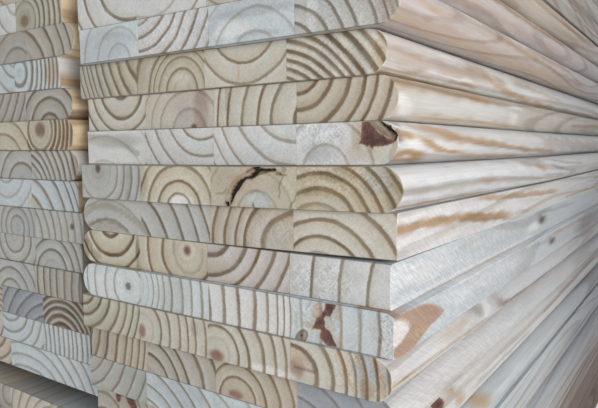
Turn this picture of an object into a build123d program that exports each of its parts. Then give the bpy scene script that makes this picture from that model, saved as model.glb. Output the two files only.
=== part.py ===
from build123d import *
import os

# A stack of edge-glued pine boards: two columns side by side, each board
# glued up from staves, with one long edge a full bullnose and the other
# left square. Millimetres. X runs across the boards, Y along them, Z up.

# Driving dimensions
board_length = 1200.0
board_thickness = 19.0
bottom_board_thickness = 27.0  # the one thicker board, lowest in the left column
stave_width = 50.0
staves_per_board = 4
glue_line = 0.1

board_width = staves_per_board * stave_width

# Each column from the floor up, one row for each board: the side of its
# rounded edge, its shift to the right and its shift to the back. Boards of a
# hand-laid stack are never flush, and these shifts are what they stand out by.
right_column = [
    ("right", 0, 2),
    ("right", 3, -2),
    ("left", -2, 1),
    ("right", 1, 3),
    ("right", 2, -1),
    ("left", 0, 2),
    ("right", 4, 0),
    ("right", -1, -3),
    ("left", 2, 1),
    ("right", 4, 0),
    ("right", 1, -2),
    ("right", 3, -2),
    ("right", 2, -6),
    ("left", 2, -5),
    ("left", -1, -2),
    ("left", 2, -3),
    ("right", 6, -6),
    ("right", -1, 4),
    ("right", -2, 6),
    ("right", -6, 4),
    ("right", 2, -1),
    ("right", 0, 0),
    ("right", 1, 3),
    ("left", -2, -2),
    ("right", 2, 1),
    ("right", 0, -1),
]
left_column = [
    ("left", 0, 6),
    ("right", -3, 4),
    ("left", 1, 7),
    ("right", 2, 3),
    ("left", -2, 5),
    ("right", 1, 6),
    ("left", -1, 3),
    ("right", 3, 8),
    ("left", -1, 35),
    ("left", 13, 5),
    ("left", 4, 5),
    ("left", 5, 5),
    ("left", -3, 5),
    ("left", -2, 6),
    ("left", 3, 4),
    ("left", -2, 5),
    ("right", -2, 6),
    ("right", -2, 4),
    ("right", -5, 6),
    ("left", -15, 5),
    ("right", 2, 4),
    ("left", -10, 5),
    ("right", -3, 6),
    ("left", 1, 3),
    ("right", -2, 5),
]


def stave_profile(width, thickness, rounded_edge):
    """Section of one stave, standing on z = 0 with its left edge at x = 0."""
    if rounded_edge is None:
        return Rectangle(width, thickness, align=(Align.MIN, Align.MIN))
    nose = thickness / 2
    flat = Rectangle(width - nose, thickness, align=(Align.MIN, Align.MIN))
    if rounded_edge == "right":
        return flat + Pos(width - nose, nose) * Circle(nose)
    return Pos(nose, 0) * flat + Pos(nose, nose) * Circle(nose)


def stave(index, thickness, rounded_edge):
    """One stave of a board, half a glue line short at each glued side."""
    first = index == 0
    last = index == staves_per_board - 1
    start = index * stave_width + (0 if first else glue_line / 2)
    end = (index + 1) * stave_width - (0 if last else glue_line / 2)
    outer = (first and rounded_edge == "left") or (last and rounded_edge == "right")
    profile = stave_profile(end - start, thickness, rounded_edge if outer else None)
    return Pos(start, 0, 0) * extrude(Plane.XZ * profile, amount=-board_length)


def board(thickness, rounded_edge):
    """One board, lying on z = 0, with its left edge at x = 0 and near end at y = 0."""
    return [stave(index, thickness, rounded_edge) for index in range(staves_per_board)]


def levels(thicknesses):
    """Bottom and top height of each board of a column, from the floor up."""
    tops = [sum(thicknesses[: count + 1]) for count in range(len(thicknesses))]
    return [(top - thickness, top) for top, thickness in zip(tops, thicknesses)]


def touching_gap(left_levels, right_levels):
    """Gap between the two columns' unshifted edges that lets their nearest boards just touch."""
    gaps = []
    for (_, left_shift, _), (left_bottom, left_top) in zip(left_column, left_levels):
        for (_, right_shift, _), (right_bottom, right_top) in zip(right_column, right_levels):
            if left_bottom < right_top and right_bottom < left_top:
                gaps.append(left_shift - right_shift)
    return max(gaps)


def column(name, rows, heights, left_edge):
    """The boards of one column by node name, each lying flat on the one below."""
    boards = {}
    for number, (row, (bottom, top)) in enumerate(zip(rows, heights), start=1):
        rounded_edge, shift_right, shift_back = row
        place = Pos(left_edge + shift_right, shift_back, bottom)
        boards[f"{name}_board_{number:02d}"] = [place * piece for piece in board(top - bottom, rounded_edge)]
    return boards


right_levels = levels([board_thickness] * len(right_column))
left_levels = levels([bottom_board_thickness] + [board_thickness] * (len(left_column) - 1))
column_gap = touching_gap(left_levels, right_levels)

boards = column("right", right_column, right_levels, 0)
boards |= column("left", left_column, left_levels, -column_gap - board_width)

# The origin is the middle of the stack's footprint, on the floor
stack_box = Compound([piece for staves in boards.values() for piece in staves]).bounding_box()
centre = stack_box.center()
to_origin = Pos(-centre.X, -centre.Y, -stack_box.min.Z)

os.makedirs("parts", exist_ok=True)
for name, staves in boards.items():
    export_step(Compound([to_origin * piece for piece in staves]), f"parts/{name}.step")
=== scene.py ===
import math

import bpy
import numpy as np
from mathutils import Matrix, Vector


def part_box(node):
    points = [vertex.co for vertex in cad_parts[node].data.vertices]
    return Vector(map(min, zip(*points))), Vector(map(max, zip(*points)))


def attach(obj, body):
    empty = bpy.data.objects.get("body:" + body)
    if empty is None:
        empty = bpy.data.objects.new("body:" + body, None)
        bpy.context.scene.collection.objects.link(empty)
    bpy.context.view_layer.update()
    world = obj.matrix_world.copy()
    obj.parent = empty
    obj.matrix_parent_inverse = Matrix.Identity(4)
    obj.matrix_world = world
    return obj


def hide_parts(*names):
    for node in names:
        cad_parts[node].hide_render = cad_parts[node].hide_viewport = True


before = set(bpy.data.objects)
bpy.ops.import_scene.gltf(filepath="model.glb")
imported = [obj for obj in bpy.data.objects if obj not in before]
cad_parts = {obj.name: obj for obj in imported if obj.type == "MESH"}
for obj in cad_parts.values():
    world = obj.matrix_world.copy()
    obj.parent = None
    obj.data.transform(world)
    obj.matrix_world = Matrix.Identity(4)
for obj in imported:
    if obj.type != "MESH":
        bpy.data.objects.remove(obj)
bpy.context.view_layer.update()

# The stack's boards are rebuilt here, each as four staves with growth rings of
# their own. Sizes in the tables and functions are millimetres: across a board
# from its left edge, along it from its near end, and up from its bottom.

MM = 0.001
STAVES = 4
STAVE_WIDTH = 50.0
WIDTH = STAVES * STAVE_WIDTH
GLUE_GAP = 0.1
RIM = 0.35            # the worn rim round a sawn end
NEAR_END = 10.0       # points of an end face that lie nearer than this are on the near end
DEFAULT_STEP = 9.0    # ring spacing where only one ring shows
LINE = 0.95           # half width of a ring's dark line
HEAVY_LINE = 1.6      # what strong rings add to that
HEAVY_FROM = 0.75     # the strength that they start from
SIDE_CONTRAST = 0.25  # strength of the rings on long sides beside the ends
FULL_TURN = 6.28      # of the waves that the pith wanders in
STREAK_TOLD = 260.0   # how far the streaks of a told side reach
STRETCH = 6.0         # how much longer than high a streak's end is
CRACK_DEPTH, KNOT_DEPTH = 1.6, 0.35
UNMARKED, NO_VEIN = 30.0, -20.0  # the fields' values away from knots and cracks, and from veins


def boards(right=None, left=None):
    """A table by node name, out of the tables of both columns by board number."""
    return {f"{side}_board_{number:02d}": value for side, table in (("right", right), ("left", left))
            for number, value in (table or {}).items()}


# Tones by name, in percent of red, green and blue as they look on screen
TONES = {
    "cream": (79, 77, 73), "white": (85, 85, 85), "blue": (79, 82, 84), "grey": (74, 74, 73),
    "taupe": (70, 68, 65), "yellow": (79, 76, 69), "peach": (79, 75, 70), "tan": (74, 70, 64),
    "olive": (74, 73, 67), "pink": (78, 75, 74), "orange": (72, 60, 46), "brown": (52, 41, 34),
    "rust": (40, 25, 21), "slate": (62, 64, 67), "rose": (77, 66, 58), "snow": (93, 93, 93),
    "mud": (50, 42, 37), "torn": (66, 55, 48), "bark": (57, 53, 49), "moss": (52, 47, 39),
    "ash": (70, 70, 68), "sand": (74, 71, 64), "ice": (82.5, 85, 86), "rosy": (74, 71, 69),
    "flesh": (58, 45, 40), "honey": (77, 67, 54), "leaf": (69, 58, 50), "resin": (67, 54, 39),
    "soot": (36, 31, 29), "blond": (96, 87, 73), "pale": (81, 81, 81.5), "falloff_shade": (41, 42.5, 49),
    "straw": (73, 68, 58.5), "low_brown": (45, 36.5, 31),
}

# Near ends, the last staves of a board from left to right: tone, strength of the
# rings, pith across and up, radii of the rings. None, and each stave that isn't
# there, gets rings of its own by chance.
ENDS = boards(right={
    22: [("white", .9, (46, 30), (29, 42, 52)), ("white", .6, (60, 30), (43, 56)), None, None],
    21: [("ice", .2, (34, -1), (9, 18, 30)), ("pale", .8, (48, 36), (27.5, 34.5, 41, 49, 55.5)),
         ("blue", .25, (128, -10), (14.5, 25, 36)), ("grey", .7, (146, -10), (16, 23, 30, 36, 45, 50))],
    20: [("sand", .8, (80, 35), (41, 49.5, 56, 62, 67.5, 72, 75, 79)),
         ("sand", .6, (84, 0), (11.3, 17, 21, 24, 35)), ("cream", .7, (125, 31), (20.5, 30.5)),
         ("cream", 1, (138, -32), (44, 48, 52.3, 56, 60.3, 66, 71))],
    19: [("cream", .9, (30, 24.5), (7, 18.4, 26, 33)), ("cream", .3, (83, -2), (12, 22, 29, 36)),
         ("cream", .85, (165, 0), (17, 29.7, 37.5, 47, 56.5, 63)),
         ("tan", .92, (151, 24), (11.2, 18.2, 27.5, 35, 40.3, 47.2))],
    18: [("white", .15, (15, -20), (22, 36)), ("white", .7, (93, 32), (19, 27.5, 37.5, 45.5)),
         ("white", .6, (150, 38), (27.5, 38.4, 48.7, 55.3)), ("white", .3, (165, -3), (12, 24))],
    17: [("grey", .6, (15, 16), (22.5, 28.5, 34)), ("yellow", .8, (78, -3), (8.7, 15, 23, 30, 37)),
         ("sand", .15, (128, -4), (12, 20.5, 33)), ("straw", .85, (160, -12), (21.5, 28, 33.5, 39, 45))],
    16: [("grey", .25, (22, -20), (28, 38.3, 52)), ("grey", .85, (22, -20), (52, 63, 73, 81)),
         ("tan", .9, (150, 0), (17, 28.5, 33.8, 40.6, 48)), ("cream", .9, (164, -15), (22.6, 29.8, 39.5))],
    15: [("yellow", 1, (26, 25), (9, 20.3, 28)), ("yellow", .85, (86, 14), (18.5, 30, 39)),
         ("pink", .95, (100, 32), (19, 29, 36, 44, 52)), ("pale", .8, (260, 0), (57, 70.5, 84.7, 99, 112))],
    14: [("ice", .5, (40, 9.5), (12.3, 20, 29, 36)), ("ice", .6, (40, 9.5), (24.5, 28.5, 34, 42, 49, 56.3)),
         ("white", .85, (40, 9.5), (61, 70.5, 80, 90, 97, 102.5, 106)),
         ("blue", .35, (100, 9.5), (66, 75.6, 85, 94))],
    13: [("olive", .85, (0, 24), (10.6, 17.3, 25, 33.5, 40, 45.7, 50.5)),
         ("cream", .75, (51, 7), (15.7, 22.5, 30.5, 36, 41, 48)),
         ("cream", .85, (106, 4), (14, 20.5, 29, 36, 42)),
         ("cream", .8, (151, 4), (13, 22, 28.5, 33, 38, 43, 48))],
    12: [("tan", .8, (-30, 20), (39.4, 47, 55.6, 63, 68, 73.6, 78)),
         ("taupe", .9, (48, -8), (18.8, 27, 33.7, 44.7)),
         ("tan", .75, (114, 0), (11.9, 18.3, 26.3, 34.7, 41)), ("slate", .4, (150, -10), (20, 30, 41))],
    11: [("ash", .6, (-14, 38), (33, 41, 50.5, 59.5, 67.5)), ("blue", .6, (40, -30), (43.7, 52, 60, 70)),
         ("blue", .4, (90, -10), (20, 31, 43)), None],
}, left={
    22: [("white", .4, (152, 24), (13, 26, 38)), ("olive", .7, (160, 6), (17, 22, 27.5, 33, 38))],
    21: [("taupe", .4, (138, -10), (19, 30, 40)), ("taupe", .7, (140, -10), (30, 41, 51, 58))],
    20: [("blue", .4, (155, 32), (16.5, 23, 34)),
         ("blue", .7, (156, 12), (9, 16, 21, 25.5, 30, 34, 38, 42))],
    19: [("taupe", .5, (98, 32), (30, 38, 46, 54)), ("taupe", .7, (176, -8), (12, 22, 31))],
    18: [("yellow", .5, (120, -15), (26, 36, 46)), ("yellow", .9, (165, 13), (17, 21, 25, 29, 33))],
    17: [("grey", .6, (138, -6), (17, 27)), ("grey", .7, (140, -10), (28.5, 33, 38, 43.4, 48.8, 54, 59))],
    16: [("blue", .3, (120, 30), (14, 24)), ("blue", .7, (135, -20), (33, 44, 55.5, 64, 69))],
    15: [("grey", .35, (128, 5), (8, 14, 20)), ("grey", .4, (130, 0), (20, 27))],
    14: [("grey", .5, (125, 18), (12, 20)), ("grey", .6, (168, -4), (16.5, 24, 31))],
    13: [("grey", .5, (120, -10), (16, 24, 33)), ("taupe", .6, (240, 10), (50, 58, 66, 73, 80))],
    12: [("slate", .5, (160, -30), (36, 44, 53)), ("taupe", 1, (170, -12), (15, 20.5, 25.5, 29.5, 34))],
    11: [("blue", .5, (110, 30), (16, 24, 32)), ("blue", .6, (60, 5), (113, 118, 122, 126, 132, 137))],
    10: [("blue", .4, (120, -40), (44, 52, 60)), ("blue", .5, (120, -40), (52, 60, 68, 76, 84))],
})
# The lowest boards are darker and browner: how many of them, over how many it fades, and how
# much in each column
LOW_DARK, LOW_DARK_FADE = 6, 3.2
LOW_DARK_SHARE = {"right": 0.9, "left": 0.5}
# Painted shade on right sides, darker with the distance from the near corner as if the light fell
# off: from where to where, how much on the upper boards, how much on the lower ones, and the
# first of the upper ones. Past the photo's edge half of it fades away again.
SHADE_FROM, SHADE_TO, SHADE_HIGH, SHADE_LOW, SHADE_BELOW = 230.0, 520.0, 0.32, 0.55, 15
SHADE_BACK = (600.0, 950.0)
# The top of this board carries a painted shadow where the board above stands back: how much,
# and from where to where along it
SHADED_BOARD, SHADED_SHARE, SHADED_REACH = "left_board_08", 0.65, (2.0, 16.0)
# Near ends of the left column beside the right one's: how much painted shade darkens them, and
# how strong and how wide their rings are
LEFT_SHADE, LEFT_STRENGTH, LEFT_LINE = 0.95, 1.15, 1.25

# Patches of another tone on near ends: across, up, half width, half height,
# tone, strength
PATCHES = boards(right={
    21: [(20, 8, 26, 12, "slate", .4), (193, 8, 5, 12, "brown", .3), (76, 10, 14, 8, "snow", .3),
         (115, 6, 12, 4, "snow", .5), (125, 13, 22, 2.5, "slate", .5), (159, 10, 3, 10, "snow", .4)],
    20: [(196.5, 6, 3, 10, "orange", .5), (84, 6, 7, 4, "snow", .3), (10, 10, 20, 12, "slate", .3),
         (53, 8, 6, 12, "tan", .6), (172, 12, 6, 9, "slate", .25), (186, 6, 5, 8, "slate", .3)],
    19: [(91, 9, 6, 13, "flesh", .55), (78, 9, 8, 9, "rosy", .7), (56, 10, 7, 10, "yellow", .5),
         (86, 1, 2.4, 1.3, "rust", .9), (109, 12, 1.6, 10, "moss", .5), (30, 16, 9, 3, "grey", .6)],
    18: [(30, 4, 22, 5, "snow", .45), (25, 13, 26, 4, "ash", .7), (180.5, 14, 2.8, 8, "tan", .7),
         (180, 5, 5, 4, "peach", .7), (190, 4, 8, 4, "yellow", .6), (197, 4, 1.8, 4, "taupe", .8),
         (161, 6, 9, 5, "slate", .3), (88, 12, 9, 5, "ice", .6), (135, 12, 14, 8, "ice", .6)],
    17: [(15, 15, 5, 5, "flesh", .3), (15, 14, 10, 8, "taupe", .4), (15, 17, 2.6, 3, "soot", .95),
         (40, 10, 3.5, 12, "moss", .25), (79, 1, 9, 4.5, "snow", .85), (52, 10, 4, 10, "moss", .35),
         (115.5, 13.2, 4.5, 3, "orange", .75), (111.5, 8, 2.4, 3, "orange", .45), (110, 13, 6, 5, "tan", .5),
         (121, 9, 7, 3.5, "rose", .35), (129, 3.5, 8.5, 4, "blue", .6), (122.5, 17.5, 5, 2.5, "rose", .6),
         (147, 12, 6, 8, "yellow", .5), (157, 8.5, 7, 2.6, "moss", .35), (170, 15, 12, 3, "moss", .3),
         (188, 13, 7, 6, "slate", .4), (196, 8, 4, 9, "moss", .4), (168, 3, 10, 3, "grey", .5)],
    16: [(20, 3, 15, 3, "moss", .3), (20, 14, 24, 2.5, "taupe", .6), (127, 5, 14, 9, "rosy", .5),
         (140, 7, 9, 8, "grey", .5)],
    15: [(3, 7, 3, 7, "moss", .8), (12, 5, 6, 3, "moss", .5), (86, 14, 8, 8, "snow", .2),
         (86, 14, 2.9, 3, "flesh", 1), (86, 14, 1.7, 1.7, "soot", .7), (105, 6, 10, 8, "tan", .8),
         (48, 10, 1.6, 12, "moss", .8), (25, 9, 14, 5, "yellow", .6), (175, 9, 26, 12, "ice", .3)],
    14: [(24, 8, 22, 9, "snow", .2), (40, 9.5, 2.8, 2.5, "soot", .85), (195, 9, 8, 10, "grey", .5),
         (163.5, 14.5, 3, 4.5, "rose", .7), (174.5, 15, 2, 4, "peach", .8), (159, 8, 4, 1.6, "tan", .6),
         (170, 10, 3, 3, "tan", .4), (175, 3, 2, 4, "peach", .7), (176, 9, .7, 12, "tan", .6),
         (75, 9, 12, 12, "grey", .5)],
    13: [(51.5, 5.5, 3, 4, "flesh", .9), (105.5, 2.6, 5.2, 3.2, "flesh", 1), (153.5, 7, 4.5, 5, "flesh", .7),
         (155, 12, 6, 5, "rose", .5), (138, 2, 14, 2.2, "snow", .7), (187, 13, 5, 8, "slate", .8),
         (188, 4, 4, 5, "moss", .7), (195, 12, 5, 6, "slate", .5), (12, 10, 14, 9, "moss", .25),
         (91, 14, 3, 5, "flesh", .4)],
    12: [(113, 2.4, 5, 2.2, "flesh", .95), (103, 12, 6, 8, "sand", .6), (8, 10, 12, 12, "bark", .35),
         (90, 8, 12, 10, "rosy", .5)],
    11: [(75, 10, 30, 12, "slate", .4)],
}, left={
    22: [(160, 6, 5.5, 4.5, "brown", .85), (194, 10, 7, 9, "peach", .7)],
    20: [(192, 10, 9, 9, "orange", .55)],
    18: [(165, 13, 6, 5, "rust", .75), (192, 8, 7, 9, "orange", .45)],
    17: [(196, 10, 4, 9, "brown", .45)],
    16: [(153, 4, 9, 4, "yellow", .7)],
    15: [(189, 10, 2.2, 2.2, "rust", .85), (182, 5, 4, 3, "tan", .7)],
    13: [(157, 10, 2.5, 11, "olive", .8)],
})

# Knots on near ends, as outlines, and on right sides: along, up, half width,
# half height
END_KNOTS = boards(right={
    18: [[(183.3, 20), (182.9, 15.6), (182.6, 11.8), (182.1, 10.1), (181.5, 9.3), (183.4, 9), (185, 8.3),
          (187, 8), (188.1, 6.8), (189, 8), (192, 7.9), (194, 8.2), (196.5, 9), (198, 9.5), (199, 11.6),
          (199.3, 13.6), (198.2, 11.8), (197.3, 10.9), (195.5, 11.3), (193.5, 12.6), (191.5, 13.7),
          (190, 14.9), (188.8, 16.4), (187.4, 17.3), (186.4, 18.8), (186, 20)]],
    14: [[(167.3, 20), (167.5, 17), (166.8, 15.4), (166, 14.2), (165, 12.4), (163.6, 11.9), (162.6, 10.3),
          (162, 8.6), (161.3, 7.3), (160.6, 5.9), (162.4, 6.6), (164.4, 6.7), (165.3, 6.2), (164.8, 4.6),
          (165, 3.2), (166.2, 1.9), (168, .3), (173.8, 0), (172.9, 1.6), (171.7, 3.7), (170.6, 5.8),
          (169.6, 7.2), (168, 7.7), (167.3, 8.5), (167.5, 10), (167, 12), (168.4, 13.2), (170.2, 13),
          (170.9, 14.5), (172, 16.4), (173.7, 20)]],
    10: [[(17, 19), (17.5, 14), (19, 12.5), (21, 14), (22, 17), (26, 19), (27, 15), (30, 12.6), (33, 9),
          (33.5, 4), (36, 3.5), (37, 9), (36, 13), (34.5, 17), (33, 20)]],
})
SIDE_KNOTS = boards(right={
    12: [(50, .5, 6, 2.6)],
    11: [(55, 16, 7, 2.4)],
})
# Cracks on near ends: points across and up, with the half width there
CRACKS = boards(right={
    18: [[(191.2, 19.2, .35), (193.5, 17, .4), (195.6, 15.6, .45)],
         [(195.8, 15.6, .3), (196.3, 17.4, .3), (200, 17, .2)],
         [(195.6, 15.4, .5), (197.5, 14.1, .6), (199.2, 12.7, .5)], [(199.2, 12.7, .3), (198.6, 10.9, .15)]],
    17: [[(110.2, .2, 1.1), (110.4, 1.6, .8)],
         [(112.2, 1.4, .3), (113, 3.4, .6), (113.8, 5.6, .9), (115, 7.7, 1.2), (116.5, 9.6, 1.5),
          (118, 11, 1.2), (119.6, 12.3, .8), (121.2, 13.3, .4), (123, 13.9, .3), (124.6, 14.3, .7),
          (126.5, 15.2, .9), (128, 16.5, 1.2), (129.5, 17.4, .7), (132, 17.5, .35), (134.5, 17.3, .5),
          (138.4, 17.4, .4)], [(126.4, 18.4, .2), (128.4, 18.6, .8), (129.6, 18.6, .3)],
         [(139.4, 15.8, .1), (141.4, 15.7, .1)], [(125.7, 1.7, 0), (126, 0, .1)]],
})
# Strokes on near ends: tone, strength, half width, points across and up
STROKES = boards(right={
    21: [("slate", .3, 2, (101, 7), (106, 13.5), (118, 17), (135, 16.4), (150, 11.5)),
         ("slate", .4, .9, (117, 2.5), (129, 4), (141, 2.4)),
         ("slate", .25, 1.4, (14, 8), (24, 13), (38, 13), (47, 9)),
         ("brown", .5, 1, (190, 16), (194, 9), (197, 3))],
    20: [("orange", .7, .3, (121.8, 3), (121.6, 12))],
    18: [("ash", .8, 1.5, (0, 15.6), (16, 15), (30, 12), (44, 6)),
         ("bark", .95, 1.7, (187.6, 18.6), (190.5, 17), (193.5, 14.6), (197, 12.6)),
         ("tan", .7, .35, (190, 18.4), (192, 17), (194, 15.6)), ("moss", .8, .35, (191.5, 15), (195, 12.6)),
         ("tan", .8, .5, (197.6, 9), (198.2, 6), (197.6, 2.5)),
         ("pink", .8, .9, (197.5, 16.2), (199.5, 14.8))],
    17: [("brown", .8, .6, (122.5, 16.5), (125.5, 17.8), (127.5, 18.8)),
         ("brown", .9, .5, (125, 13.5), (128, 14.9), (131, 16), (134, 16.6)),
         ("moss", .6, 1.2, (143, 19), (143.3, 17.5)), ("moss", .8, .35, (144.5, 15.2), (142, 15.4)),
         ("moss", .75, .3, (143, 15), (141.3, 12), (140.6, 10), (141, 7.6), (140.4, 5.4)),
         ("slate", .5, .45, (124.5, 6.5), (127.5, 8), (131, 7.2), (133, 5.3), (135.2, 3.4)),
         ("moss", .7, .3, (149.6, 6.6), (149, 4), (147.4, 2.8), (146.4, .6)),
         ("rose", .8, .7, (117, 1), (117.4, 3)), ("moss", .5, .5, (104, 6), (108, 6.2), (109.5, 8))],
    16: [("moss", .6, 1.1, (2, 1.6), (10, 5.2), (20, 7), (30, 5.4), (38, 1.8)),
         ("bark", .45, 1.6, (0, 8), (10, 13.4), (22, 15.4), (35, 12), (46, 7.4), (54, 2))],
    15: [("bark", .45, .8, (76.5, 19), (76.6, 12), (78.5, 6.4), (83, 2.8), (89, 2.2), (94, 5), (96.4, 10),
          (96.8, 15)), ("moss", .7, 1, (3, 18), (4, 13.5), (7, 11), (8, 6))],
    14: [("moss", 1, .55, (152.3, 0), (153, 2), (154.4, 3.6), (156.4, 4.9), (158, 4.4), (158.3, 3.2),
          (157.6, 1.4), (156.6, 0)), ("bark", .9, 1.5, (153.6, .6), (155.3, 1.6), (156.8, 3.2)),
         ("rust", 1, .55, (155.2, 2.3), (155.5, 2.5)), ("olive", .8, .5, (152.6, 6), (152.7, 12)),
         ("slate", .5, .5, (158.2, 15), (160.5, 18)), ("bark", .5, .55, (185, 19), (185.2, 9), (184.8, 0)),
         ("bark", .75, .6, (193.2, 19), (193.6, 14), (194.2, 9.5), (192.9, 0))],
    13: [("brown", .9, .3, (152, 6.5), (163, 6.4)), ("orange", .7, .9, (174.5, 19), (178, 12), (181, 4)),
         ("orange", .6, 1.1, (183, 19), (187, 12), (189.5, 3)),
         ("resin", .7, 1.2, (192.5, 17), (195, 11), (196, 4))],
})

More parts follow.
